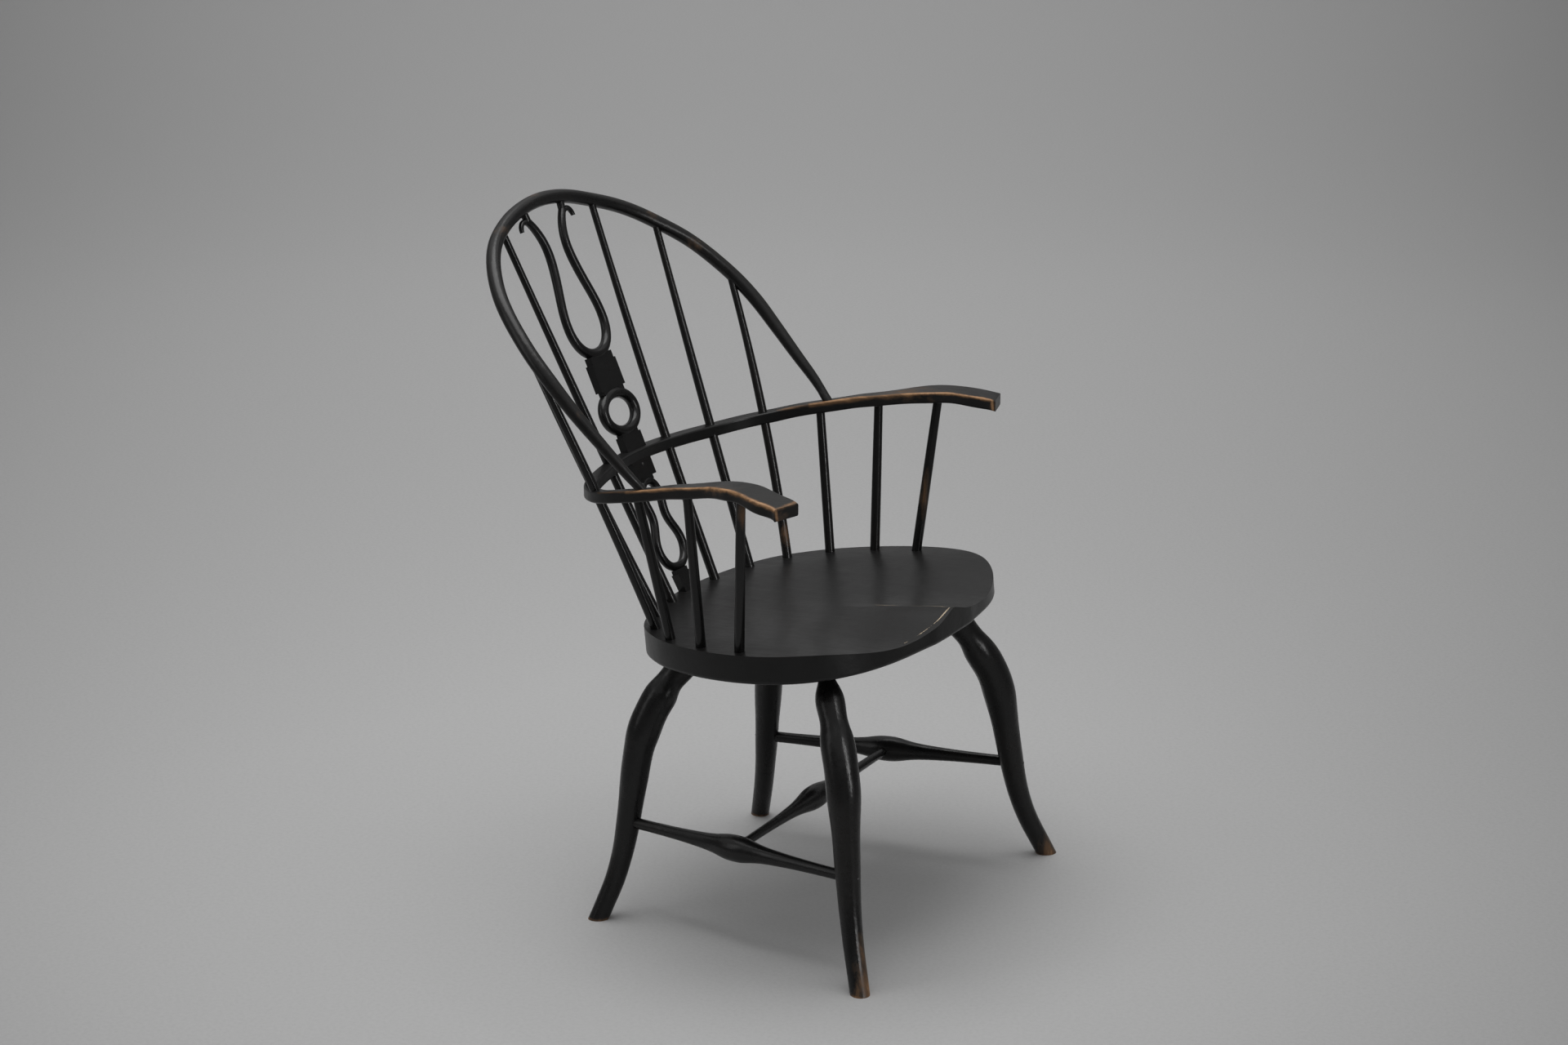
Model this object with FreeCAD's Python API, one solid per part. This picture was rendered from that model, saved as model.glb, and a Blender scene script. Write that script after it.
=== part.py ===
import FreeCAD, Part
import math
import os
from FreeCAD import Vector

os.makedirs("parts", exist_ok=True)

# Sizes in millimetres. Front is -Y, up is +Z, left is the sitter's left (+X).

# Fits
CLEARANCE = 0.15
PIN_CLEARANCE = 0.05

# Seat: top plane rises toward the front, plan outline runs from the rear centre round to the front centre
SEAT_HEIGHT = 445.0
SEAT_RISE = 0.0935
SEAT_THICKNESS = 40.0
SEAT_REAR = 222.0
SEAT_FRONT = -213.0
SEAT_OUTLINE = (
    (43, 219.5), (82, 214), (119, 205), (159, 191), (193, 172), (220, 146), (243, 116), (262, 78),
    (277, 34), (285, -10), (286, -50), (278, -92), (258, -130), (232, -156), (203, -175),
    (170, -189), (128, -200), (70, -209),
)
SEAT_UNDER_ROUND = 5.0

# Saddle: a shallow bowl behind, two thigh scoops in front with a ridge between them
BOWL_DEPTH = 11.0
BOWL_HALF_WIDTH = 238.0
BOWL_REACH = 190.0
BOWL_CENTRE_Y = -10.0
BOWL_EDGE_POWER = 1.5
SCOOP_DEPTH = 21.0
SCOOP_HALF_WIDTH = 275.0
SCOOP_PEAK_SHARE = 0.42
SADDLE_MARGIN = 30.0
SADDLE_COLUMNS = 18
SADDLE_ROWS = 25

# Legs: foot centre, plan bearing of the bend, and (share of the leg's height, inward travel) along it
FRONT_FOOT = (298.0, -224.0)
FRONT_BEARING = 135.0
FRONT_BEND = (
    (-0.049, -11), (0, 0), (0.049, 10.3), (0.099, 21.0), (0.148, 30.6), (0.198, 38.7), (0.272, 48.0),
    (0.346, 54.8), (0.444, 62.4), (0.543, 69.6), (0.630, 77.0), (0.691, 84.4), (0.741, 93.5),
    (0.790, 105.5), (0.840, 118.8), (0.889, 133.2), (0.951, 151.8), (1.012, 170.5),
)
REAR_FOOT = (236.5, 225.9)
REAR_BEARING = 221.9
REAR_BEND = (
    (-0.049, -10), (0, 0), (0.049, 9.2), (0.099, 18.4), (0.148, 26.4), (0.198, 32.8), (0.272, 40.2),
    (0.346, 45.6), (0.444, 51.6), (0.543, 57.6), (0.610, 62.6), (0.667, 69.0), (0.721, 77.6),
    (0.775, 89.4), (0.830, 104.3), (0.874, 119.6), (0.923, 138.0), (0.978, 158.0),
)
LEG_RADII = (
    (-0.049, 13.4), (0, 13.6), (0.148, 14.4), (0.272, 15.8), (0.370, 17.4), (0.469, 19.0), (0.543, 20.5),
    (0.617, 22.3), (0.691, 23.7), (0.741, 23.8), (0.790, 22.8), (0.844, 20.4), (0.899, 18.0),
    (0.963, 16.8), (1.037, 16.6),
)
LEG_TENON_RADIUS = 12.0
LEG_TENON_LENGTH = 24.0
LEG_TENON_ROOT = 18.0

# Stretchers: joint height in each leg, (distance from the middle, radius)
FRONT_JOINT_HEIGHT = 148.5
REAR_JOINT_HEIGHT = 141.0
SIDE_PROFILE = (
    (0, 18.6), (15, 17.7), (31, 14.7), (46, 12.4), (72, 10.4), (101, 9.0), (135, 8.2), (160, 7.9),
)
SIDE_TENON_STOP = 4.0
CROSS_PROFILE = (
    (0, 17.2), (15, 16.3), (32, 13.6), (50, 11.0), (75, 8.9), (105, 7.6), (140, 6.9), (190, 6.4),
)
CROSS_TENON_STOP = 8.0

# Pins: shank and domed head
PIN_RADIUS = 1.3
PIN_HEAD_RADIUS = 2.7
PIN_HEAD_RISE = 1.7
PIN_HEAD_SINK = 0.4
PIN_REACH = 22.0

# Arm bow: height of its top over the seat's, then (x, y, rise, width, thickness) from the rear centre
# to the left hand end
ARM_HEIGHT = 178.5
ARM_STATIONS = (
    (0, 298, 0, 19, 17), (42, 296.3, -0.2, 19, 17), (84, 290.5, -0.5, 19, 17), (127, 281, -0.6, 19, 17),
    (168.5, 267.6, -0.1, 19, 17), (206, 247, 3.5, 19, 17), (236, 218, 9.3, 19.5, 17),
    (256, 180, 19.0, 20, 17), (265, 145, 27.5, 20.5, 17), (270, 105, 37.0, 21.5, 17),
    (274.7, 60, 47.0, 27.5, 16.5), (277.4, 25, 54.0, 35, 16), (282.8, -10, 60.8, 44, 16),
    (293, -42, 64.0, 48, 16), (305, -72, 63.0, 47.5, 16.5), (314, -100, 59.5, 48, 17),
    (320.6, -122.5, 55.5, 45.7, 17),
)
ARM_EDGE_ROUND = 2.6

# Back hoop: (x, y, height over the arm bow) from the crown to the left end, radii and taper
HOOP_POINTS = (
    (0, 453.0, 347.5), (45, 451.3, 344.4), (83.7, 447.8, 336.9), (122, 439.6, 326.1),
    (156, 427.6, 315.0), (194.5, 406.2, 296.5), (224, 382.8, 276.1), (247, 358.4, 256.1),
    (262.4, 334.4, 235.5), (272.5, 312.1, 215.5), (279.5, 291.3, 196.5), (283.2, 270.8, 177.1),
    (284.6, 251.3, 157.5), (284.0, 232.6, 137.5), (282.4, 213.5, 117.5), (280.0, 193.5, 96.9),
    (277.6, 173.1, 76.5), (275.0, 153.0, 56.3),
)
HOOP_RADIUS = 10.2
HOOP_END_RADIUS = 6.4
HOOP_TAPER_START = 176.5
HOOP_TAPER_POWER = 1.4
HOOP_LANDING = (268.5, 129.5)
HOOP_SHOULDER = 10.0
HOOP_TENON_REACH = 12.0

# Long spindles: seat point, and how far along the arm bow and the hoop each one meets them
LONG_BASES = ((61.0, 203.0), (132.8, 185.0), (191.0, 154.0))
LONG_ARM_RUNS = (80.5, 171.5, 257.5)
LONG_HOOP_RUNS = (122.5, 242.0, 378.5)
LONG_PROFILE = ((0.0, 7.0), (0.3, 6.8), (0.45, 6.6), (0.7, 5.9), (1.0, 5.0))
LONG_STATIONS = 9

# Short spindles: seat point and arm-bow point
SHORT_BASES = ((265.6, -20.8), (257.5, 43.6), (233.6, 105.6))
SHORT_TOPS = ((294.5, -40.0), (280.3, 50.8), (264.0, 139.0))
SHORT_PROFILE = ((0.0, 7.1), (0.35, 7.0), (0.7, 6.7), (0.96, 6.4))
SEAT_SOCKET_DEPTH = 16.0
ARM_SOCKET_DEPTH = 9.0

# Splat: stands on its centreline from the seat to the hoop; (half width, distance up) outlines
SPLAT_FOOT_Y = 214.5
SPLAT_LEAN = 0.4374
SPLAT_THICKNESS = 12.0
SPLAT_TENON = (19.0, 8.0, 20.0)
SPLAT_TENON_ROOT = 4.0
FOOT_START = -8.0
FOOT_HEIGHT = 26.0
FOOT_HALF_WIDTHS = (11.5, 16.0)
LOOP_HALF = (
    (0, 36), (16, 39.5), (28, 51.5), (32.5, 67), (30, 81), (23.5, 95), (18.0, 110), (19, 126),
    (21.5, 141), (18.5, 154.5), (10.5, 163.5), (0, 166.5),
)
LOOP_TUBE_RADIUS = 6.3
LOWER_BLOCK = (25.0, 172.0, 238.0)
RING_CENTRE = 273.0
RING_HALF_AXES = (40.0, 28.0)
RING_TUBE_RADIUS = 8.0
UPPER_BLOCK = (31.5, 308.0, 349.0)
NECKS = (
    (13.0, 25.0, 32.0), (15.0, 166.0, 173.0), (21.0, 237.0, 249.0), (26.0, 299.0, 309.0),
    (28.0, 348.0, 360.0),
)
NECK_THICKNESS = 11.0
FORK_HALF = (
    (0, 362), (20, 366), (34.5, 376.5), (43.5, 392), (46.5, 412), (43, 438), (35.5, 465),
    (28.5, 493), (25.5, 518), (28.5, 540), (37, 559), (46.5, 572),
)
FORK_RADII = (8.2, 7.8, 7.2, 6.8, 6.5, 6.4, 6.5, 6.6, 6.5, 6.3, 6.0, 5.6)
CURL = ((43, 566, 4.6), (52, 571.5, 4.3), (60.5, 571.5, 4.0), (66.5, 566, 3.7), (68.5, 559, 3.2))
FORK_TENON_RADIUS = 4.0
FORK_TENON_REACH = 6.0
SPLAT_PIN_UP = 191.0
SPLAT_PIN_LENGTH = 8.0

# Cutting blocks are larger than the chair, rays are longer than a leg is thick, and FINE is how closely
# the outermost points are found
BLOCK = 1400.0
RAY = 80.0
FINE = 0.05

LEG_HEIGHT = SEAT_HEIGHT - SEAT_THICKNESS
ARM_TOP = SEAT_HEIGHT + ARM_HEIGHT
Z_AXIS = Vector(0, 0, 1)
SIDES = (("left", 1), ("right", -1))


def seat_top(y):
    return SEAT_HEIGHT - SEAT_RISE * y


def mirrored(shape):
    return shape.mirror(Vector(0, 0, 0), Vector(1, 0, 0))


def for_side(shape, side):
    if side > 0:
        return shape
    return mirrored(shape)


def between(table, value):
    for (low, first), (high, second) in zip(table, table[1:]):
        if value <= high:
            share = (value - low) / (high - low)
            return first + share * (second - first)
    return table[-1][1]


def spline(points, start=None, end=None):
    curve = Part.BSplineCurve()
    if start is None:
        curve.interpolate(Points=points)
    else:
        curve.interpolate(Points=points, InitialTangent=start, FinalTangent=end)
    return curve


def smooth_table(table, values):
    curve = spline([Vector(a, b, 0) for a, b in table])
    result = []
    for value in values:
        low = curve.FirstParameter
        high = curve.LastParameter
        for _ in range(40):
            middle = (low + high) / 2
            if curve.value(middle).x < value:
                low = middle
            else:
                high = middle
        result.append(curve.value(low).y)
    return result


def ring_wire(centre, along, across, radius):
    side = across - along * across.dot(along)
    side.normalize()
    other = along.cross(side)
    steps = [math.radians(45 * step) for step in range(8)]
    rim = [centre + side * radius * math.cos(a) + other * radius * math.sin(a) for a in steps]
    quarters = [Part.Arc(rim[i], rim[i + 1], rim[(i + 2) % 8]) for i in range(0, 8, 2)]
    return Part.Wire([quarter.toShape() for quarter in quarters])


def round_loft(points, radii, across, start=None, end=None):
    curve = spline(points, start, end)
    wires = []
    for index, (point, radius) in enumerate(zip(points, radii)):
        along = curve.tangent(curve.parameter(point))[0]
        if index == 0 and start is not None:
            along = start
        if index == len(points) - 1 and end is not None:
            along = end
        along = Vector(along)
        along.normalize()
        wires.append(ring_wire(point, along, across, radius))
    return Part.makeLoft(wires, True, False)


def turned(start, end, profile, grow=0.0):
    length = (end - start).Length
    outline = [Vector(radius + grow, 0, at) for at, radius in profile]
    first = Vector(outline[0].x, 0, 0)
    last = Vector(outline[-1].x, 0, length)
    curve = spline(outline, Z_AXIS, Z_AXIS).toShape()
    edges = [Part.makeLine(Vector(0, 0, 0), first)]
    if outline[0].z > 0:
        edges.append(Part.makeLine(first, outline[0]))
    edges.append(curve)
    if outline[-1].z < length:
        edges.append(Part.makeLine(outline[-1], last))
    edges.append(Part.makeLine(last, Vector(0, 0, length)))
    edges.append(Part.makeLine(Vector(0, 0, length), Vector(0, 0, 0)))
    solid = Part.Face(Part.Wire(edges)).revolve(Vector(0, 0, 0), Z_AXIS, 360)
    solid.Placement = FreeCAD.Placement(start, FreeCAD.Rotation(Z_AXIS, end - start))
    return solid


def both_sides(left):
    return [Vector(-p.x, p.y, p.z) for p in reversed(left[1:])] + list(left)


def point_along(points, start, distance):
    curve = spline(points)
    return curve.value(curve.parameterAtDistance(distance, curve.parameter(start)))


def rod(start, end, radius):
    return Part.makeCylinder(radius, (end - start).Length, start, end - start)


def exit_point(shape, start, direction):
    inside = shape.common(Part.makeLine(start, start + direction * RAY))
    return max((v.Point for v in inside.Vertexes), key=lambda p: (p - start).Length)


# Seat
def saddle_depth(x, y):
    share = min(1.0, max(0.0, (BOWL_CENTRE_Y - y) / (BOWL_CENTRE_Y - SEAT_FRONT)))
    front = share * share * (3 - 2 * share)
    back = max(0.0, y - BOWL_CENTRE_Y) / BOWL_REACH
    inside = max(0.0, 1 - (x / BOWL_HALF_WIDTH) ** 2 - back * back)
    bowl = BOWL_DEPTH * inside ** BOWL_EDGE_POWER
    along = min(1.0, abs(x) / SCOOP_HALF_WIDTH)
    power = 1 / SCOOP_PEAK_SHARE - 1
    scale = SCOOP_PEAK_SHARE * (1 - SCOOP_PEAK_SHARE) ** power
    scoop = SCOOP_DEPTH * along * (1 - along) ** power / scale
    return bowl * (1 - front) + scoop * front


def seat_half():
    rear = Vector(0, SEAT_REAR, 0)
    front = Vector(0, SEAT_FRONT, 0)
    points = [rear] + [Vector(x, y, 0) for x, y in SEAT_OUTLINE] + [front]
    rim = spline(points, Vector(1, 0, 0), Vector(-1, 0, 0)).toShape()
    outline = Part.Face(Part.Wire([rim, Part.makeLine(front, rear)]))
    outline.translate(Vector(0, 0, -SEAT_THICKNESS))
    blank = outline.extrude(Vector(0, 0, SEAT_THICKNESS + SADDLE_MARGIN))
    low_x = -SADDLE_MARGIN
    low_y = SEAT_FRONT - SADDLE_MARGIN
    step_x = (max(p.x for p in points) + SADDLE_MARGIN - low_x) / (SADDLE_COLUMNS - 1)
    step_y = (SEAT_REAR + SADDLE_MARGIN - low_y) / (SADDLE_ROWS - 1)
    columns = [low_x + step_x * i for i in range(SADDLE_COLUMNS)]
    rows = [low_y + step_y * j for j in range(SADDLE_ROWS)]
    grid = [[Vector(x, y, -saddle_depth(max(x, 0.0), y)) for y in rows] for x in columns]
    top = Part.BSplineSurface()
    top.interpolate(grid)
    return blank.cut(top.toShape().extrude(Vector(0, 0, SEAT_THICKNESS + SADDLE_MARGIN)))


def seat_solid():
    half = seat_half()
    whole = half.fuse(mirrored(half)).removeSplitter()
    under = []
    for edge in whole.Edges:
        box = edge.BoundBox
        if box.ZMax < -SEAT_THICKNESS + 0.01 and box.XLength > 1:
            under.append(edge)
    whole = whole.makeFillet(SEAT_UNDER_ROUND, under)
    tilt = FreeCAD.Rotation(Vector(1, 0, 0), -math.degrees(math.atan(SEAT_RISE)))
    place = FreeCAD.Placement(Vector(0, 0, SEAT_HEIGHT), tilt)
    return whole.transformGeometry(place.toMatrix())


def above_underside():
    corner = Vector(-BLOCK / 2, -BLOCK / 2, -SEAT_THICKNESS)
    block = Part.makeBox(BLOCK, BLOCK, BLOCK, corner)
    tilt = FreeCAD.Rotation(Vector(1, 0, 0), -math.degrees(math.atan(SEAT_RISE)))
    place = FreeCAD.Placement(Vector(0, 0, SEAT_HEIGHT), tilt)
    return block.transformGeometry(place.toMatrix())


# Legs
def inward(bearing):
    angle = math.radians(bearing)
    return Vector(math.cos(angle), math.sin(angle), 0)


def leg_points(foot, bearing, bend, shares):
    travels = smooth_table(bend, shares)
    return [Vector(foot[0], foot[1], share * LEG_HEIGHT) + inward(bearing) * travel
            for share, travel in zip(shares, travels)]


def leg_parts(foot, bearing, bend, upper):
    shares = [share for share, travel in bend]
    points = leg_points(foot, bearing, bend, shares)
    body = round_loft(points, smooth_table(LEG_RADII, shares), inward(bearing + 90))
    floor = Part.makeBox(BLOCK, BLOCK, BLOCK, Vector(-BLOCK / 2, -BLOCK / 2, -BLOCK))
    body = body.cut(floor).cut(upper)
    direction = points[-1] - points[-2]
    direction.normalize()
    rise = seat_top(points[-1].y) - SEAT_THICKNESS - points[-1].z
    landing = points[-1] + direction * (rise / (direction.z + SEAT_RISE * direction.y))
    tip = landing + direction * LEG_TENON_LENGTH
    root = landing - direction * LEG_TENON_ROOT
    tenon = rod(root, tip, LEG_TENON_RADIUS)
    socket = rod(root, tip, LEG_TENON_RADIUS + CLEARANCE).common(upper)
    return body.fuse(tenon), socket


# Stretchers and their pins
def spread_profile(profile, length):
    middle = length / 2
    below = [(middle - at, radius) for at, radius in reversed(profile[1:])]
    above = [(middle + at, radius) for at, radius in profile]
    return below + above


def stretcher(start, end, profile, grow=0.0):
    return turned(start, end, spread_profile(profile, (end - start).Length), grow)


def pin(surface, direction, length, grow=0.0):
    seat = surface + direction * PIN_HEAD_SINK
    shank = rod(seat, seat + direction * length, PIN_RADIUS + grow)
    sphere = (PIN_HEAD_RADIUS ** 2 + PIN_HEAD_RISE ** 2) / (2 * PIN_HEAD_RISE)
    ball = Part.makeSphere(sphere + grow, seat + direction * (sphere - PIN_HEAD_RISE))
    outside = rod(seat, seat - direction * 2 * sphere, 2 * sphere)
    return ball.common(outside).fuse(shank)


# Arm bow
def arm_section(x, y, top, width, thickness, along):
    out = Vector(along.y, -along.x, 0)
    centre = Vector(x, y, 0)
    low = top - thickness
    r = ARM_EDGE_ROUND
    half = width / 2
    cut = r * (1 - math.sqrt(0.5))

    def at(side, z):
        return centre + out * side + Vector(0, 0, z)

    corners = (
        (at(half, top - r), at(half - cut, top - cut), at(half - r, top)),
        (at(r - half, top), at(cut - half, top - cut), at(-half, top - r)),
        (at(-half, low + r), at(cut - half, low + cut), at(r - half, low)),
        (at(half - r, low), at(half - cut, low + cut), at(half, low + r)),
    )
    edges = []
    for index, corner in enumerate(corners):
        edges.append(Part.Arc(*corner).toShape())
        edges.append(Part.makeLine(corner[2], corners[(index + 1) % 4][0]))
    return Part.Wire(edges)


def arm_bow():
    left = [(x, y, ARM_TOP + rise, width, thick) for x, y, rise, width, thick in ARM_STATIONS]
    right = [(-x, y, top, width, thick) for x, y, top, width, thick in reversed(left[1:])]
    stations = right + left
    curve = spline([Vector(s[0], s[1], 0) for s in stations])
    wires = []
    for station in stations:
        along = curve.tangent(curve.parameter(Vector(station[0], station[1], 0)))[0]
        wires.append(arm_section(*station, along))
    return Part.makeLoft(wires, True, False)


def arm_level(y, share):
    table = sorted((s[1], ARM_TOP + s[2] - share * s[4]) for s in ARM_STATIONS)
    return between(table, y)


def arm_at(distance):
    left = [Vector(x, y, ARM_TOP + rise - thick / 2) for x, y, rise, width, thick in ARM_STATIONS]
    return point_along(both_sides(left), left[0], distance)


# Back hoop
def hoop_side_points():
    return [Vector(x, y, ARM_TOP + rise) for x, y, rise in HOOP_POINTS]


def hoop_end():
    landing = Vector(HOOP_LANDING[0], HOOP_LANDING[1], arm_level(HOOP_LANDING[1], 0))
    direction = landing - hoop_side_points()[-1]
    direction.normalize()
    return landing, direction


def hoop_radius(z):
    low = hoop_end()[0].z
    share = max(0.0, (ARM_TOP + HOOP_TAPER_START - z) / (ARM_TOP + HOOP_TAPER_START - low))
    return HOOP_RADIUS - (HOOP_RADIUS - HOOP_END_RADIUS) * share ** HOOP_TAPER_POWER


def hoop():
    landing, direction = hoop_end()
    shoulder = landing - direction * HOOP_SHOULDER
    points = both_sides(hoop_side_points() + [shoulder])
    radii = [hoop_radius(p.z) for p in points]
    lean = Vector(0, -1, 1)
    start = Vector(direction.x, -direction.y, -direction.z)
    body = round_loft(points, radii, lean, start, direction)
    tip = landing + direction * HOOP_TENON_REACH
    tenon = rod(shoulder, tip, radii[-1])
    socket = rod(shoulder, tip, radii[-1] + CLEARANCE)
    return body.fuse([tenon, mirrored(tenon)]), [socket, mirrored(socket)]


def hoop_at(distance):
    left = hoop_side_points()
    return point_along(both_sides(left), left[0], distance)


# Spindles
def long_spindle(index, grow=0.0):
    x, y = LONG_BASES[index]
    base = Vector(x, y, seat_top(y))
    curve = spline([base, arm_at(LONG_ARM_RUNS[index]), hoop_at(LONG_HOOP_RUNS[index])])
    first, last = curve.FirstParameter, curve.LastParameter
    down = curve.tangent(first)[0]
    points = [base - down * SEAT_SOCKET_DEPTH]
    radii = [LONG_PROFILE[0][1] + grow]
    for step in range(LONG_STATIONS):
        share = step / (LONG_STATIONS - 1)
        points.append(curve.value(first + share * (last - first)))
        radii.append(smooth_table(LONG_PROFILE, [share])[0] + grow)
    return round_loft(points, radii, Vector(1, 0, 0), down, curve.tangent(last)[0])


def short_spindle(index, grow=0.0):
    x, y = SHORT_BASES[index]
    base = Vector(x, y, seat_top(y))
    x, y = SHORT_TOPS[index]
    top = Vector(x, y, arm_level(y, 1) + ARM_SOCKET_DEPTH)
    along = top - base
    along.normalize()
    start = base - along * SEAT_SOCKET_DEPTH
    body = (top - base).Length
    stations = [(SEAT_SOCKET_DEPTH + share * body, radius) for share, radius in SHORT_PROFILE]
    return turned(start, top, stations, grow)


# Splat
def splat_frame():
    up = Vector(0, SPLAT_LEAN, 1)
    up.normalize()
    normal = Vector(0, up.z, -up.y)
    return Vector(0, SPLAT_FOOT_Y, seat_top(SPLAT_FOOT_Y)), up, normal


def on_splat(x, distance, offset=0.0):
    origin, up, normal = splat_frame()
    return origin + Vector(x, 0, 0) + up * distance + normal * offset


def slab(half_low, half_high, low, high, thickness):
    half = thickness / 2
    wires = []
    for width, distance in ((half_low, low), (half_high, high)):
        corners = [on_splat(x, distance, d) for x, d in
                   ((-width, -half), (width, -half), (width, half), (-width, half), (-width, -half))]
        wires.append(Part.makePolygon(corners))
    return Part.makeLoft(wires, True, True)


def closed_tube(path, start, along, radius):
    section = Part.Wire(Part.makeCircle(radius, start, along))
    return Part.Wire(path).makePipeShell([section], True, False)


def loop_tube():
    left = [(-x, distance) for x, distance in reversed(LOOP_HALF[1:-1])]
    points = [on_splat(x, distance) for x, distance in list(LOOP_HALF) + left]
    curve = Part.BSplineCurve()
    curve.interpolate(Points=points, PeriodicFlag=True)
    return closed_tube(curve.toShape(), points[0], Vector(1, 0, 0), LOOP_TUBE_RADIUS)


def ring_tube():
    wide, tall = RING_HALF_AXES
    side = on_splat(wide, RING_CENTRE)
    ellipse = Part.Ellipse(side, on_splat(0, RING_CENTRE + tall), on_splat(0, RING_CENTRE))
    halves = []
    for turn in (-math.pi / 2, math.pi / 2):
        section = ring_wire(ellipse.value(turn), ellipse.tangent(turn)[0], splat_frame()[2], RING_TUBE_RADIUS)
        path = Part.Wire(ellipse.toShape(turn, turn + math.pi))
        halves.append(path.makePipeShell([section], True, False))
    return halves[0].fuse(halves[1])


def fork_tube():
    points = both_sides([on_splat(x, distance) for x, distance in FORK_HALF])
    radii = list(reversed(FORK_RADII[1:])) + list(FORK_RADII)
    return round_loft(points, radii, splat_frame()[2])


def fork_tenon():
    root = on_splat(*FORK_HALF[-1])
    hoop_curve = spline(both_sides(hoop_side_points()))
    target = hoop_curve.value(hoop_curve.parameter(root))
    direction = target - root
    direction.normalize()
    tip = target - direction * (HOOP_RADIUS - FORK_TENON_REACH)
    return root, tip


def splat(seat, back):
    pieces = [slab(*FOOT_HALF_WIDTHS, FOOT_START, FOOT_HEIGHT, SPLAT_THICKNESS)]
    pieces.append(loop_tube())
    for half, low, high in (LOWER_BLOCK, UPPER_BLOCK):
        pieces.append(slab(half, half, low, high, SPLAT_THICKNESS))
    for half, low, high in NECKS:
        pieces.append(slab(half, half, low, high, NECK_THICKNESS))
    pieces.append(ring_tube())
    pieces.append(fork_tube())
    normal = splat_frame()[2]
    curl = round_loft([on_splat(x, d) for x, d, r in CURL], [r for x, d, r in CURL], normal)
    pieces += [curl, mirrored(curl)]
    body = pieces[0].fuse(pieces[1:])
    root, tip = fork_tenon()
    stub = rod(root, tip, FORK_RADII[-1])
    body = body.fuse([stub, mirrored(stub)])
    body = body.cut([seat, back])
    peg = rod(root, tip, FORK_TENON_RADIUS)
    peg_socket = rod(root, tip, FORK_TENON_RADIUS + CLEARANCE)
    wide, thick, deep = SPLAT_TENON
    tongue = slab(wide / 2, wide / 2, -deep, SPLAT_TENON_ROOT, thick)
    half = wide / 2 + CLEARANCE
    slot = slab(half, half, -deep, SPLAT_TENON_ROOT, thick + 2 * CLEARANCE)
    body = body.fuse([peg, mirrored(peg), tongue])
    return body, [peg_socket, mirrored(peg_socket)], slot


def splat_slot():
    half, low, high = LOWER_BLOCK
    return slab(half + CLEARANCE, half + CLEARANCE, low, high, SPLAT_THICKNESS + 2 * CLEARANCE)


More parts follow.
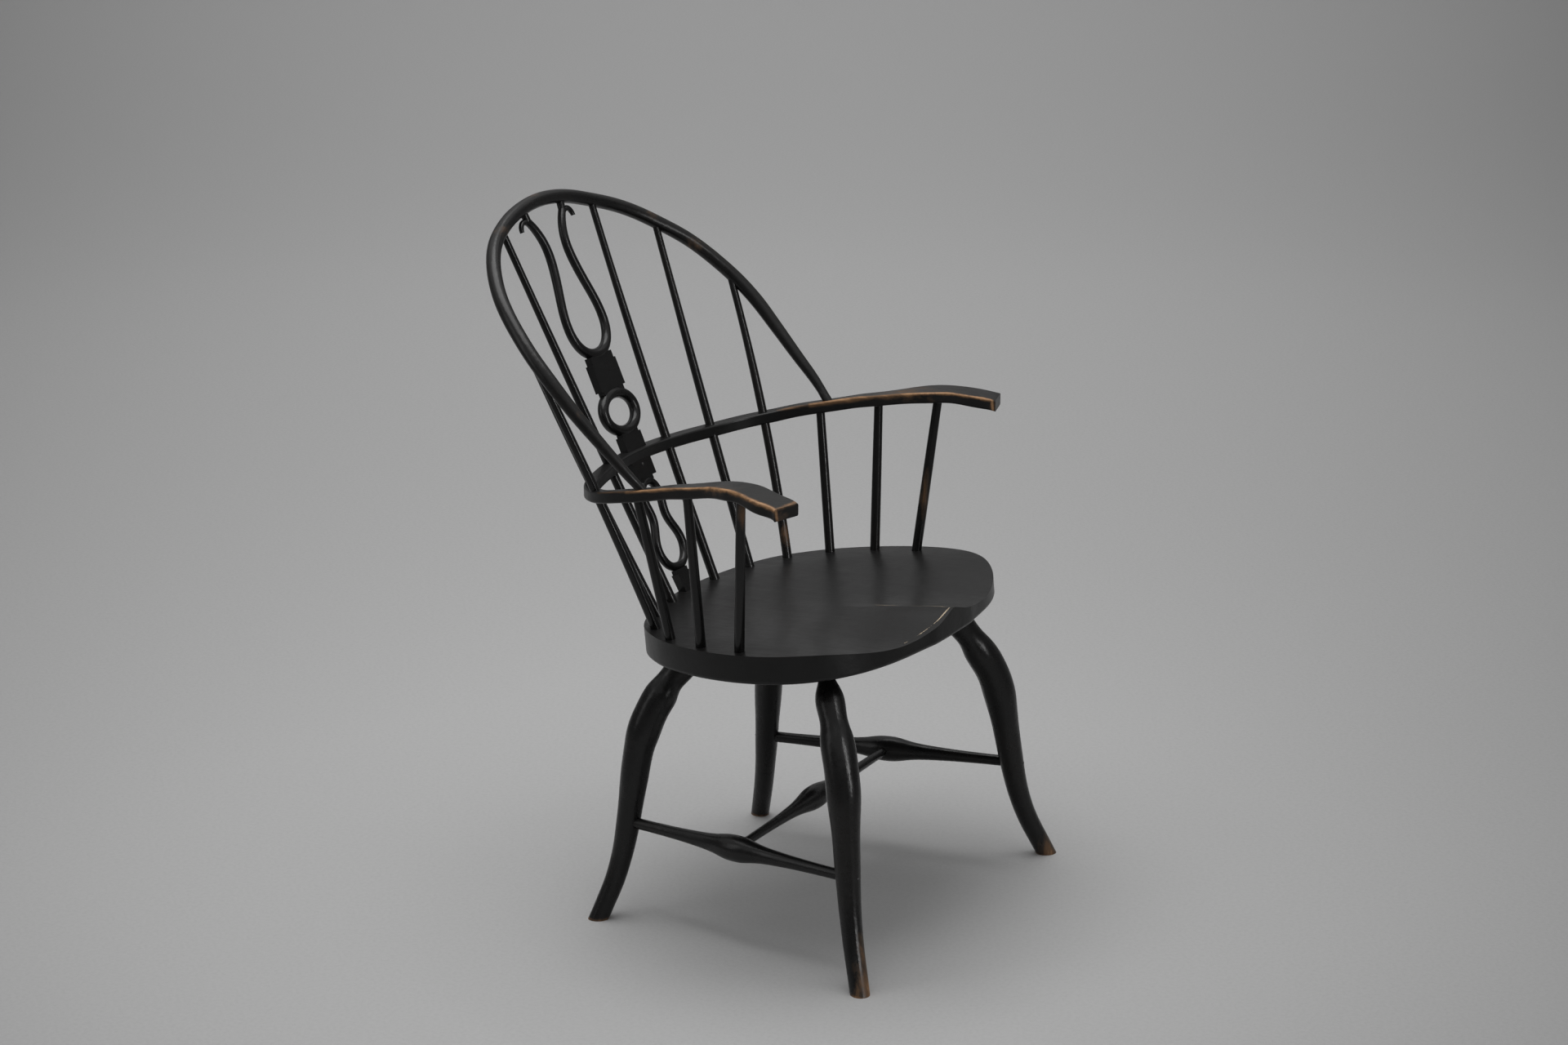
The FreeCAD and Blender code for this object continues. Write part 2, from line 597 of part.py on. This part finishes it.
def build():
    nodes = {}
    seat = seat_solid()
    upper = above_underside()
    bow = arm_bow()
    back, back_sockets = hoop()

    legs = {}
    sockets = []
    for name, foot, bearing, bend in (
        ("front", FRONT_FOOT, FRONT_BEARING, FRONT_BEND),
        ("rear", REAR_FOOT, REAR_BEARING, REAR_BEND),
    ):
        body, socket = leg_parts(foot, bearing, bend, upper)
        legs[name] = body
        sockets += [socket, mirrored(socket)]

    share = FRONT_JOINT_HEIGHT / LEG_HEIGHT
    front_joint = leg_points(FRONT_FOOT, FRONT_BEARING, FRONT_BEND, [share])[0]
    share = REAR_JOINT_HEIGHT / LEG_HEIGHT
    rear_joint = leg_points(REAR_FOOT, REAR_BEARING, REAR_BEND, [share])[0]
    run = front_joint - rear_joint
    run.normalize()
    start = rear_joint + run * SIDE_TENON_STOP
    end = front_joint - run * SIDE_TENON_STOP
    side = stretcher(start, end, SIDE_PROFILE)
    side_socket = stretcher(start, end, SIDE_PROFILE, CLEARANCE)
    middle = (start + end) / 2
    reach = middle.x - CROSS_TENON_STOP
    cross_ends = (Vector(-reach, middle.y, middle.z), Vector(reach, middle.y, middle.z))
    cross = stretcher(*cross_ends, CROSS_PROFILE)
    side = side.cut(stretcher(*cross_ends, CROSS_PROFILE, CLEARANCE))

    pins = []
    for name, joint, outward in (("front", front_joint, run), ("rear", rear_joint, run * -1)):
        surface = exit_point(legs[name], joint, outward)
        pins.append(pin(surface, outward * -1, PIN_REACH))
        hole = pin(surface, outward * -1, PIN_REACH, PIN_CLEARANCE)
        legs[name] = legs[name].cut([side_socket, hole])
        side = side.cut(hole)
    pins += [mirrored(p) for p in pins]

    splat_body, peg_sockets, foot_slot = splat(seat, back)
    surface = on_splat(0, SPLAT_PIN_UP, -SPLAT_THICKNESS / 2)
    normal = splat_frame()[2]
    nail = pin(surface, normal, SPLAT_PIN_LENGTH)
    splat_body = splat_body.cut(pin(surface, normal, SPLAT_PIN_LENGTH, PIN_CLEARANCE))

    seat_cuts = sockets + [foot_slot]
    bow_cuts = back_sockets + [splat_slot()]
    back_cuts = list(peg_sockets)
    for index in range(len(LONG_BASES)):
        piece = long_spindle(index)
        space = long_spindle(index, CLEARANCE)
        for label, sign in SIDES:
            nodes["long_spindle_%s_%d" % (label, index + 1)] = for_side(piece, sign)
            for cuts in (seat_cuts, bow_cuts, back_cuts):
                cuts.append(for_side(space, sign))
    for index in range(len(SHORT_BASES)):
        piece = short_spindle(index)
        space = short_spindle(index, CLEARANCE)
        for label, sign in SIDES:
            nodes["short_spindle_%s_%d" % (label, index + 1)] = for_side(piece, sign)
            for cuts in (seat_cuts, bow_cuts):
                cuts.append(for_side(space, sign))

    nodes["seat"] = seat.cut(seat_cuts)
    nodes["arm_bow"] = bow.cut(bow_cuts)
    nodes["back_hoop"] = back.cut(back_cuts)
    nodes["splat"] = splat_body
    nodes["splat_pin"] = nail
    nodes["cross_stretcher"] = cross
    nodes["stretcher_pins"] = Part.makeCompound(pins)
    for label, sign in SIDES:
        nodes["side_stretcher_%s" % label] = for_side(side, sign)
        for name in ("front", "rear"):
            nodes["leg_%s_%s" % (name, label)] = for_side(legs[name], sign)
    return nodes


def export(nodes):
    front = min(p.y for p in nodes["leg_front_left"].tessellate(FINE)[0])
    back = max(p.y for p in nodes["back_hoop"].tessellate(FINE)[0])
    middle = (front + back) / 2
    for name, shape in nodes.items():
        moved = shape.copy()
        moved.translate(Vector(0, -middle, 0))
        moved.exportStep("parts/%s.step" % name)


export(build())
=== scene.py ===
import math

import bmesh
import bpy
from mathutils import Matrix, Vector

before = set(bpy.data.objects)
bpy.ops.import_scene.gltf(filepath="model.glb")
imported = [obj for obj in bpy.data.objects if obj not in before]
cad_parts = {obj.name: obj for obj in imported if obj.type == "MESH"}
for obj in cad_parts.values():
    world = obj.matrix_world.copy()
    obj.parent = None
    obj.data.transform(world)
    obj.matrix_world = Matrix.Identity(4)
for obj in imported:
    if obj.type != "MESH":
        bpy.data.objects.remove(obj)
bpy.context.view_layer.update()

# Camera: place, the point it looks at, and its lens on a 36 mm wide sensor
CAMERA_PLACE = (-4.6190, -2.5753, 2.1200)
CAMERA_TARGET = (0.0, -0.05692, 0.54774)
CAMERA_LENS = 89.48
SENSOR_WIDTH = 36.0

# Studio: a round floor that curves up into a wall, with light and shade painted into its grey: painted light
# makes it lighter farther from the chair, and painted shade makes it darker towards the picture's sides
FLOOR_RADIUS = 9.0
COVE_RADIUS = 3.0
WALL_HEIGHT = 7.0
COVE_STEPS = 9
SPIN_STEPS = 72
# Painted light: where the floor's grey ramps from the near grey to the middle and far greys
MIDDLE_PAINTED_LIGHT_FADE = (1.0, 4.2)
FAR_PAINTED_LIGHT_FADE = (4.0, 10.0)
NEAR_PAINTED_LIGHT_GREY = 0.53
MIDDLE_PAINTED_LIGHT_GREY = 0.76
FAR_PAINTED_LIGHT_GREY = 0.84
# Painted shade towards the picture's sides: how fast it darkens, and at most how much
PAINTED_SIDE_SHADE = 4.6
MOST_PAINTED_SIDE_SHADE = 0.45
LAMP_TARGET = (0.0, 0.0, 0.5)
WORLD_LEVEL = 0.50
KEY_POWER = 40.0
KEY_SIZE = 2.0
KEY_PLACE = (0.1, 0.25, 2.9)
STRIP_POWER = 26.0
STRIP_SIZE = (0.25, 2.2)
STRIP_PLACE = (-0.6, -2.6, 1.5)
SIDE_POWER = 5.0
SIDE_SIZE = (0.9, 1.8)
SIDE_PLACE = (-2.2, 1.7, 1.6)

# Colours, linear
PAINT = (0.0070, 0.0069, 0.0069, 1)
THIN_PAINT = (0.015, 0.0125, 0.0110, 1)
STAINED = (0.045, 0.0290, 0.0190, 1)
WOOD = (0.150, 0.0800, 0.0380, 1)
BARE = (0.400, 0.2220, 0.1080, 1)
CREAM = (0.560, 0.4500, 0.3200, 1)
HAIR_SCRATCH = (0.050, 0.047, 0.045, 1)
PIN_BLACK = (0.010, 0.010, 0.010, 1)
PIN_BROWN = (0.045, 0.038, 0.032, 1)
BLACK = (0.0, 0.0, 0.0, 1)

# Wear: from where to where each layer takes over from the one before
WEAR_LAYERS = ((0.22, 0.48, STAINED), (0.46, 0.80, WOOD), (0.80, 1.15, BARE))
PAINT_IOR = 1.38

# Grain: how far the pattern is drawn out along each axis of the piece, and along a bend
UPRIGHT = (1.0, 1.0, 0.07)
LENGTHWISE = (1.0, 0.07, 1.0)
SIDEWAYS = (0.07, 1.0, 1.0)
BEND_SCALE = 0.02


class Graph:
    """The nodes of one material. Each method returns an output socket."""

    def __init__(self, name):
        self.material = bpy.data.materials.new(name)
        self.material.use_nodes = True
        self.nodes = self.material.node_tree.nodes
        self.links = self.material.node_tree.links
        self.shader = self.nodes["Principled BSDF"]

    def put(self, socket, value):
        if isinstance(value, bpy.types.NodeSocket):
            self.links.new(value, socket)
        else:
            socket.default_value = value

    def set(self, name, value):
        self.put(self.shader.inputs[name], value)

    def place(self):
        return self.nodes.new("ShaderNodeTexCoord").outputs["Object"]

    def math(self, operation, first, second=0.0, clamp=False):
        node = self.nodes.new("ShaderNodeMath")
        node.operation = operation
        node.use_clamp = clamp
        self.put(node.inputs[0], first)
        self.put(node.inputs[1], second)
        return node.outputs[0]

    def vector(self, operation, first, second=(0, 0, 0)):
        node = self.nodes.new("ShaderNodeVectorMath")
        node.operation = operation
        self.put(node.inputs[0], first)
        self.put(node.inputs[1], second)
        if operation in ("DOT_PRODUCT", "LENGTH", "DISTANCE"):
            return node.outputs["Value"]
        return node.outputs["Vector"]

    def split(self, vector):
        node = self.nodes.new("ShaderNodeSeparateXYZ")
        self.put(node.inputs[0], vector)
        return node.outputs

    def join(self, x, y, z):
        node = self.nodes.new("ShaderNodeCombineXYZ")
        for socket, value in zip(node.inputs, (x, y, z)):
            self.put(socket, value)
        return node.outputs[0]

    def noise(self, vector, scale, detail=3.0, roughness=0.55, seed=0.0):
        node = self.nodes.new("ShaderNodeTexNoise")
        node.noise_dimensions = "4D"
        self.put(node.inputs["Vector"], vector)
        node.inputs["W"].default_value = seed
        node.inputs["Scale"].default_value = scale
        node.inputs["Detail"].default_value = detail
        node.inputs["Roughness"].default_value = roughness
        return node.outputs[0]

    def cells(self, vector, scale, seed=0.0):
        node = self.nodes.new("ShaderNodeTexVoronoi")
        node.voronoi_dimensions = "4D"
        self.put(node.inputs["Vector"], vector)
        node.inputs["W"].default_value = seed
        node.inputs["Scale"].default_value = scale
        return node.outputs["Distance"], node.outputs["Color"]

    def step(self, value, low, high, start=0.0, end=1.0):
        node = self.nodes.new("ShaderNodeMapRange")
        node.interpolation_type = "SMOOTHSTEP"
        self.put(node.inputs["Value"], value)
        node.inputs["From Min"].default_value = low
        node.inputs["From Max"].default_value = high
        node.inputs["To Min"].default_value = start
        node.inputs["To Max"].default_value = end
        return node.outputs["Result"]

    def mix(self, share, first, second):
        node = self.nodes.new("ShaderNodeMix")
        node.data_type = "RGBA"
        self.put(node.inputs["Factor"], share)
        self.put(node.inputs[6], first)
        self.put(node.inputs[7], second)
        return node.outputs[2]

    def bump(self, height, distance, strength=1.0, normal=None):
        node = self.nodes.new("ShaderNodeBump")
        node.inputs["Strength"].default_value = strength
        node.inputs["Distance"].default_value = distance
        self.put(node.inputs["Height"], height)
        if normal is not None:
            self.put(node.inputs["Normal"], normal)
        return node.outputs[0]

    def edges(self, radius):
        """0 on flat or gently curved ground, up to 1 along an edge."""
        bevel = self.nodes.new("ShaderNodeBevel")
        bevel.samples = 6
        bevel.inputs["Radius"].default_value = radius
        flat = self.nodes.new("ShaderNodeNewGeometry").outputs["Normal"]
        facing = self.vector("DOT_PRODUCT", bevel.outputs[0], flat)
        return self.math("SUBTRACT", 1.0, facing, clamp=True)


def ring_place(graph, place, centre, axes):
    """Coordinates round a bend: distance from the centre, way round, and the rest."""
    parts = graph.split(graph.vector("SUBTRACT", place, centre))
    first, second, rest = (parts["XYZ".index(axis)] for axis in axes)
    angle = graph.math("ARCTAN2", first, second)
    reach = graph.vector("LENGTH", graph.join(first, second, 0.0))
    return graph.join(reach, graph.math("MULTIPLY", angle, BEND_SCALE), rest)


def ball(graph, place, centre, size):
    """1 in the middle of an ellipsoid, fading to 0 at its surface."""
    offset = graph.vector("SUBTRACT", place, centre)
    share = graph.vector("LENGTH", graph.vector("DIVIDE", offset, size))
    return graph.math("SUBTRACT", 1.0, share, clamp=True)


def largest(graph, values):
    total = values[0]
    for value in values[1:]:
        total = graph.math("MAXIMUM", total, value)
    return total


def line_distance(graph, place, start, end):
    """How far a place is from the straight line between two points."""
    start = Vector(start)
    run = Vector(end) - start
    length = run.length
    run.normalize()
    offset = graph.vector("SUBTRACT", place, start)
    along = graph.vector("DOT_PRODUCT", offset, run)
    along = graph.math("MINIMUM", graph.math("MAXIMUM", along, 0.0), length)
    foot = graph.nodes.new("ShaderNodeVectorMath")
    foot.operation = "SCALE"
    foot.inputs[0].default_value = run
    graph.links.new(along, foot.inputs["Scale"])
    return graph.vector("DISTANCE", offset, foot.outputs[0])


def band(graph, place, points, width, strength):
    """Wear along a chain of points: full on the chain, gone at its width."""
    nearest = None
    for start, end in zip(points, points[1:]):
        distance = line_distance(graph, place, start, end)
        nearest = distance if nearest is None else graph.math("MINIMUM", nearest, distance)
    return graph.math("MULTIPLY", graph.step(nearest, width, 0.0), strength)


def scratch(graph, place, cloudy, fine, start, end, width):
    """A worn line between two points, broken up by the noise."""
    distance = line_distance(graph, place, start, end)
    uneven = graph.math("MULTIPLY", graph.math("SUBTRACT", fine, 0.5), width * 2.2)
    near = graph.step(graph.math("ADD", distance, uneven), width, width * 0.45)
    return graph.math("MULTIPLY", near, graph.step(cloudy, 0.30, 0.46))


def centred(graph, value, amount):
    return graph.math("MULTIPLY", graph.math("SUBTRACT", value, 0.5), amount)


def wear_amount(graph, place, patches, bands, rim, edge_wear, edge_radius):
    """How far the paint has gone, before the noise breaks it up."""
    wear = [0.0]
    for centre, size, strength in patches:
        wear.append(graph.math("MULTIPLY", ball(graph, place, centre, size), strength))
    for points, width, strength in bands:
        wear.append(band(graph, place, points, width, strength))
    if rim > 0:
        wear.append(graph.step(graph.split(place)[2], rim, 0.0, 0.0, 0.75))
    total = largest(graph, wear)
    if edge_wear > 0:
        worn_edge = graph.step(graph.edges(edge_radius), 0.04, 0.30)
        total = graph.math("MAXIMUM", total, graph.math("MULTIPLY", worn_edge, edge_wear))
    return total


def chipped(graph, place, cloudy, fine, chips, lines, seed):
    """1 where a small chip or a worn line shows the pale ground."""
    distance, tint = graph.cells(place, 42.0, seed)
    picked = graph.step(graph.split(tint)[0], 1.0 - 0.10 * chips, 1.0 - 0.09 * chips)
    chip = graph.math("MULTIPLY", graph.step(distance, 0.060, 0.045), picked)
    for start, end, width in lines:
        chip = graph.math("MAXIMUM", chip, scratch(graph, place, cloudy, fine, start, end, width))
    return chip


def painted_wood(name, grain=UPRIGHT, ring=None, seed=0.0, gloss=0.30, thin=0.25, patches=(), bands=(),
                 edge_wear=0.0, edge_radius=0.003, rim=0.0, lines=(), dents=1.0, chips=0.5):
    graph = Graph(name)
    place = graph.place()
    if ring is None:
        along = graph.vector("MULTIPLY", place, grain)
    else:
        along = ring_place(graph, place, *ring)

    broad = graph.noise(place, 7.0, 3.0, 0.55, seed)
    cloudy = graph.noise(place, 38.0, 4.0, 0.62, seed + 3.0)
    fine = graph.noise(along, 330.0, 4.0, 0.6, seed + 5.0)
    streak = graph.noise(along, 90.0, 3.0, 0.55, seed + 7.0)
    hair = graph.noise(along, 900.0, 2.0, 0.5, seed + 11.0)
    lumps = graph.noise(place, 26.0, 3.0, 0.6, seed + 13.0)

    total = wear_amount(graph, place, patches, bands, rim, edge_wear, edge_radius)
    ragged = graph.math("ADD", centred(graph, cloudy, 0.75), centred(graph, fine, 0.60))
    ragged = graph.math("ADD", ragged, centred(graph, streak, 1.10))
    shown = graph.math("ADD", total, graph.math("MULTIPLY", ragged, graph.step(total, 0.0, 0.25)))

    colour = graph.mix(graph.math("MULTIPLY", graph.step(broad, 0.42, 0.68), thin), PAINT, THIN_PAINT)
    for low, high, layer in WEAR_LAYERS:
        colour = graph.mix(graph.step(shown, low, high), colour, layer)
    chip = chipped(graph, place, cloudy, fine, chips, lines, seed)
    colour = graph.mix(chip, colour, CREAM)
    hair = graph.math("MULTIPLY", graph.step(hair, 0.66, 0.74), graph.step(cloudy, 0.50, 0.72))
    colour = graph.mix(graph.math("MULTIPLY", hair, 0.30), colour, HAIR_SCRATCH)
    graph.set("Base Color", colour)

    rough = graph.math("ADD", centred(graph, streak, 0.14), gloss)
    rough = graph.math("ADD", rough, centred(graph, cloudy, 0.16))
    rough = graph.math("ADD", rough, graph.step(shown, 0.3, 0.8, 0.0, 0.20), clamp=True)
    graph.set("Roughness", rough)
    graph.set("IOR", PAINT_IOR)

    relief = graph.bump(lumps, 0.0016 * dents)
    relief = graph.bump(streak, 0.00035 * dents, 1.0, relief)
    relief = graph.bump(fine, 0.00010, 1.0, relief)
    relief = graph.bump(graph.math("SUBTRACT", 1.0, chip), 0.0003, 1.0, relief)
    graph.set("Normal", relief)
    return graph.material


def pin_metal(name):
    graph = Graph(name)
    place = graph.place()
    spots = graph.noise(place, 700.0, 3.0, 0.6, 2.0)
    colour = graph.mix(graph.step(spots, 0.45, 0.75), PIN_BLACK, PIN_BROWN)
    graph.set("Base Color", colour)
    graph.set("Roughness", graph.step(spots, 0.3, 0.7, 0.30, 0.50))
    graph.set("Normal", graph.bump(spots, 0.0002))
    return graph.material


def dress(name, material):
    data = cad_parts[name].data
    data.materials.clear()
    data.materials.append(material)


def aim(thing, place, target):
    thing.location = place
    thing.rotation_euler = (Vector(target) - Vector(place)).to_track_quat("-Z", "Y").to_euler()


def camera():
    data = bpy.data.cameras.new("camera")
    data.lens = CAMERA_LENS
    data.sensor_width = SENSOR_WIDTH
    data.sensor_fit = "HORIZONTAL"
    thing = bpy.data.objects.new("camera", data)
    bpy.context.scene.collection.objects.link(thing)
    aim(thing, CAMERA_PLACE, CAMERA_TARGET)
    bpy.context.scene.camera = thing


def lamp(name, power, size, place, target, diffuse=True):
    data = bpy.data.lights.new(name, "AREA")
    data.energy = power
    data.shape = "RECTANGLE"
    data.size, data.size_y = size
    thing = bpy.data.objects.new(name, data)
    thing.visible_diffuse = diffuse
    bpy.context.scene.collection.objects.link(thing)
    aim(thing, place, target)


def studio_material():
    graph = Graph("studio_floor")
    place = graph.place()
    distance = graph.vector("LENGTH", place)
    # Painted light: the floor's grey gets lighter farther from the chair, standing in for lamp light that
    # does not reach so far
    painted_light_greys = [(level, level, level, 1) for level in (NEAR_PAINTED_LIGHT_GREY, MIDDLE_PAINTED_LIGHT_GREY, FAR_PAINTED_LIGHT_GREY)]
    colour = graph.mix(graph.step(distance, *MIDDLE_PAINTED_LIGHT_FADE), painted_light_greys[0], painted_light_greys[1])
    colour = graph.mix(graph.step(distance, *FAR_PAINTED_LIGHT_FADE), colour, painted_light_greys[2])

    # Painted shade: the floor is blended towards black towards the picture's sides
    ahead = Vector((-CAMERA_PLACE[0], -CAMERA_PLACE[1], 0.0)).normalized()
    beside = Vector((ahead.y, -ahead.x, 0.0))
    offset = graph.vector("SUBTRACT", place, (CAMERA_PLACE[0], CAMERA_PLACE[1], 0.0))
    deep = graph.math("MAXIMUM", graph.vector("DOT_PRODUCT", offset, ahead), 1.0)
    slope = graph.math("DIVIDE", graph.vector("DOT_PRODUCT", offset, beside), deep)
    slope = graph.math("MULTIPLY", slope, slope)
    painted_side_shade = graph.math("MULTIPLY", slope, PAINTED_SIDE_SHADE)
    painted_side_shade = graph.math("MULTIPLY", painted_side_shade, graph.step(deep, 5.0, 12.0, 0.9, 1.8))
    painted_side_shade = graph.math("MINIMUM", painted_side_shade, MOST_PAINTED_SIDE_SHADE)
    colour = graph.mix(painted_side_shade, colour, BLACK)

    speckle = graph.noise(place, 160.0, 3.0, 0.6, 4.0)
    darker = graph.mix(0.06, colour, BLACK)
    graph.set("Base Color", graph.mix(graph.step(speckle, 0.35, 0.75), colour, darker))
    graph.set("Roughness", 0.9)
    graph.set("Specular IOR Level", 0.1)
    graph.set("Normal", graph.bump(speckle, 0.0004))
    return graph.material


def studio():
    mesh = bpy.data.meshes.new("studio_floor")
    shape = bmesh.new()
    profile = [(0.0, 0.0), (FLOOR_RADIUS, 0.0)]
    for turn in range(1, COVE_STEPS + 1):
        angle = math.radians(90 * turn / COVE_STEPS)
        profile.append((FLOOR_RADIUS + COVE_RADIUS * math.sin(angle), COVE_RADIUS * (1 - math.cos(angle))))
    profile.append((FLOOR_RADIUS + COVE_RADIUS, WALL_HEIGHT))
    points = [shape.verts.new((x, 0.0, z)) for x, z in profile]
    for first, second in zip(points, points[1:]):
        shape.edges.new((first, second))
    bmesh.ops.spin(shape, geom=shape.verts[:] + shape.edges[:], cent=(0, 0, 0), axis=(0, 0, 1),
                   angle=math.tau, steps=SPIN_STEPS, use_merge=True)
    bmesh.ops.remove_doubles(shape, verts=shape.verts[:], dist=1e-4)
    bmesh.ops.recalc_face_normals(shape, faces=shape.faces[:])
    shape.to_mesh(mesh)
    shape.free()
    for polygon in mesh.polygons:
        polygon.use_smooth = True
    floor = bpy.data.objects.new("studio_floor", mesh)
    bpy.context.scene.collection.objects.link(floor)
    mesh.materials.append(studio_material())

    world = bpy.data.worlds.new("studio_air")
    bpy.context.scene.world = world
    world.use_nodes = True
    background = world.node_tree.nodes["Background"]
    background.inputs["Color"].default_value = (1, 1, 1, 1)
    background.inputs["Strength"].default_value = WORLD_LEVEL

    lamp("key", KEY_POWER, (KEY_SIZE, KEY_SIZE), KEY_PLACE, (0.0, 0.0, 0.0))
    lamp("strip", STRIP_POWER, STRIP_SIZE, STRIP_PLACE, LAMP_TARGET, diffuse=False)
    lamp("side", SIDE_POWER, SIDE_SIZE, SIDE_PLACE, LAMP_TARGET)


# Where the paint has rubbed away. Bands: points, width, strength. Patches: centre, half sizes, strength.
NEAR_BACK = ((-0.2550, 0.1000, 0.6350), (-0.2689, 0.0577, 0.6449), (-0.2738, 0.0376, 0.6494))
FAR_BACK = ((0.2400, 0.0850, 0.6370), (0.2482, 0.0620, 0.6425), (0.2543, 0.0376, 0.6486))
NEAR_EDGE = ((-0.2738, 0.0376, 0.6494), (-0.2797, -0.0025, 0.6585), (-0.2858, -0.0424, 0.6681),
             (-0.2932, -0.0824, 0.6762), (-0.2983, -0.1024, 0.6802))
NEAR_HAND = ((-0.2983, -0.1024, 0.6802), (-0.3135, -0.1423, 0.6866), (-0.3295, -0.1822, 0.6849),
             (-0.3369, -0.2129, 0.6815), (-0.3410, -0.2280, 0.6785))
NEAR_END = ((-0.3400, -0.2300, 0.6785), (-0.3143, -0.2350, 0.6799), (-0.2990, -0.2370, 0.6795))
NEAR_CORNER = ((-0.3395, -0.2300, 0.6775), (-0.3360, -0.2330, 0.6600))
FAR_EDGE = ((0.2543, 0.0376, 0.6486), (0.2597, -0.0023, 0.6582), (0.2618, -0.0423, 0.6680),
            (0.2608, -0.0825, 0.6752), (0.2615, -0.1221, 0.6828))
FAR_HAND = ((0.2615, -0.1221, 0.6828), (0.2698, -0.1575, 0.6867), (0.2774, -0.1776, 0.6871),
            (0.2900, -0.2127, 0.6829), (0.2965, -0.2360, 0.6795))
FAR_CORNER = ((0.2965, -0.2366, 0.6790), (0.2968, -0.2385, 0.6620))
ARM_BANDS = (
    (NEAR_BACK, 0.0050, 0.70),
    (FAR_BACK, 0.0070, 0.60),
    (NEAR_EDGE, 0.0060, 1.05),
    (NEAR_HAND, 0.0085, 1.12),
    (NEAR_END, 0.0070, 0.80),
    (NEAR_CORNER, 0.0070, 1.15),
    (FAR_EDGE, 0.0100, 0.98),
    (FAR_HAND, 0.0060, 1.10),
    (FAR_CORNER, 0.0050, 1.15),
)
ARM_PATCHES = (
    ((-0.306, -0.120, 0.682), (0.030, 0.060, 0.020), 0.55),
    ((-0.336, -0.236, 0.667), (0.030, 0.014, 0.022), 0.70),
    ((0.275, -0.100, 0.680), (0.040, 0.100, 0.020), 0.60),
    ((0.300, -0.238, 0.664), (0.020, 0.014, 0.022), 0.55),
)
HOOP_PATCHES = (
    ((-0.133, 0.322, 0.956), (0.060, 0.022, 0.030), 0.42),
    ((-0.020, 0.341, 0.980), (0.030, 0.012, 0.012), 0.45),
    ((0.247, 0.228, 0.869), (0.022, 0.030, 0.030), 0.55),
    ((0.210, 0.276, 0.917), (0.030, 0.022, 0.025), 0.45),
    ((-0.284, 0.110, 0.745), (0.012, 0.030, 0.035), 0.45),
)
SEAT_LINES = (
    ((0.0142, -0.1750, 0.4415), (0.0060, -0.2500, 0.4515), 0.0007),
    ((0.0060, -0.2500, 0.4515), (-0.0008, -0.3187, 0.4639), 0.0011),
    ((-0.0008, -0.3187, 0.4639), (-0.0301, -0.3172, 0.4542), 0.0014),
    ((-0.0301, -0.3172, 0.4542), (-0.0754, -0.3112, 0.4450), 0.0010),
    ((-0.0754, -0.3112, 0.4450), (-0.1174, -0.3072, 0.4426), 0.0006),
)
FOOT_PATCHES = {
    "front_right": (((-0.290, -0.348, 0.004), (0.036, 0.034, 0.095), 1.15),
                    ((-0.279, -0.336, 0.055), (0.026, 0.024, 0.045), 0.85)),
    "front_left": (((0.290, -0.350, 0.002), (0.030, 0.030, 0.055), 1.00),),
    "rear_right": (),
    "rear_left": (),
}
SPINDLE_PATCHES = {
    "short_spindle_right_1": (((-0.2966, -0.158, 0.645), (0.014, 0.014, 0.050), 0.95),),
    "short_spindle_left_1": (((0.2695, -0.143, 0.535), (0.014, 0.014, 0.060), 0.80),),
    "long_spindle_left_3": (((0.1950, 0.045, 0.466), (0.014, 0.014, 0.035), 0.80),),
}


def dress_all():
    bends = {"arm": ((0.0, 0.0, 0.0), "XYZ"), "hoop": ((0.0, 0.2, 0.74), "XZY")}
    dress("seat", painted_wood("seat_paint", LENGTHWISE, seed=1.0, gloss=0.34, thin=0.12, edge_wear=0.20,
                               edge_radius=0.0025, lines=SEAT_LINES, dents=0.45, chips=0.35))
    dress("arm_bow", painted_wood("arm_paint", ring=bends["arm"], seed=2.0, gloss=0.32, thin=0.30,
                                  patches=ARM_PATCHES, bands=ARM_BANDS, dents=0.4, chips=0.3))
    dress("back_hoop", painted_wood("hoop_paint", ring=bends["hoop"], seed=3.0, gloss=0.30, thin=0.4,
                                    patches=HOOP_PATCHES, dents=0.6))
    dress("splat", painted_wood("splat_paint", UPRIGHT, seed=4.0, gloss=0.24, thin=0.2, dents=0.30,
                                chips=0.3))
    for index, (corner, patches) in enumerate(FOOT_PATCHES.items()):
        dress("leg_" + corner, painted_wood("leg_paint_" + corner, UPRIGHT, seed=10.0 + index, gloss=0.28,
                                            thin=0.4, patches=patches, rim=0.007, dents=0.9))
    for index, name in enumerate(sorted(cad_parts)):
        if "spindle" in name:
            dress(name, painted_wood("paint_" + name, UPRIGHT, seed=20.0 + index, gloss=0.22, thin=0.3,
                                     patches=SPINDLE_PATCHES.get(name, ()), dents=0.30))
    for name in ("side_stretcher_left", "side_stretcher_right"):
        dress(name, painted_wood("paint_" + name, LENGTHWISE, seed=60.0 + len(name), gloss=0.28, thin=0.4,
                                 dents=0.6))
    dress("cross_stretcher", painted_wood("paint_cross_stretcher", SIDEWAYS, seed=70.0, gloss=0.26, thin=0.6,
                                          patches=(((-0.13, -0.005, 0.150), (0.05, 0.02, 0.02), 0.5),),
                                          dents=0.5))
    metal = pin_metal("pin_metal")
    for name in ("stretcher_pins", "splat_pin"):
        dress(name, metal)


camera()
studio()
dress_all()

bpy.context.scene.view_settings.view_transform = "Standard"
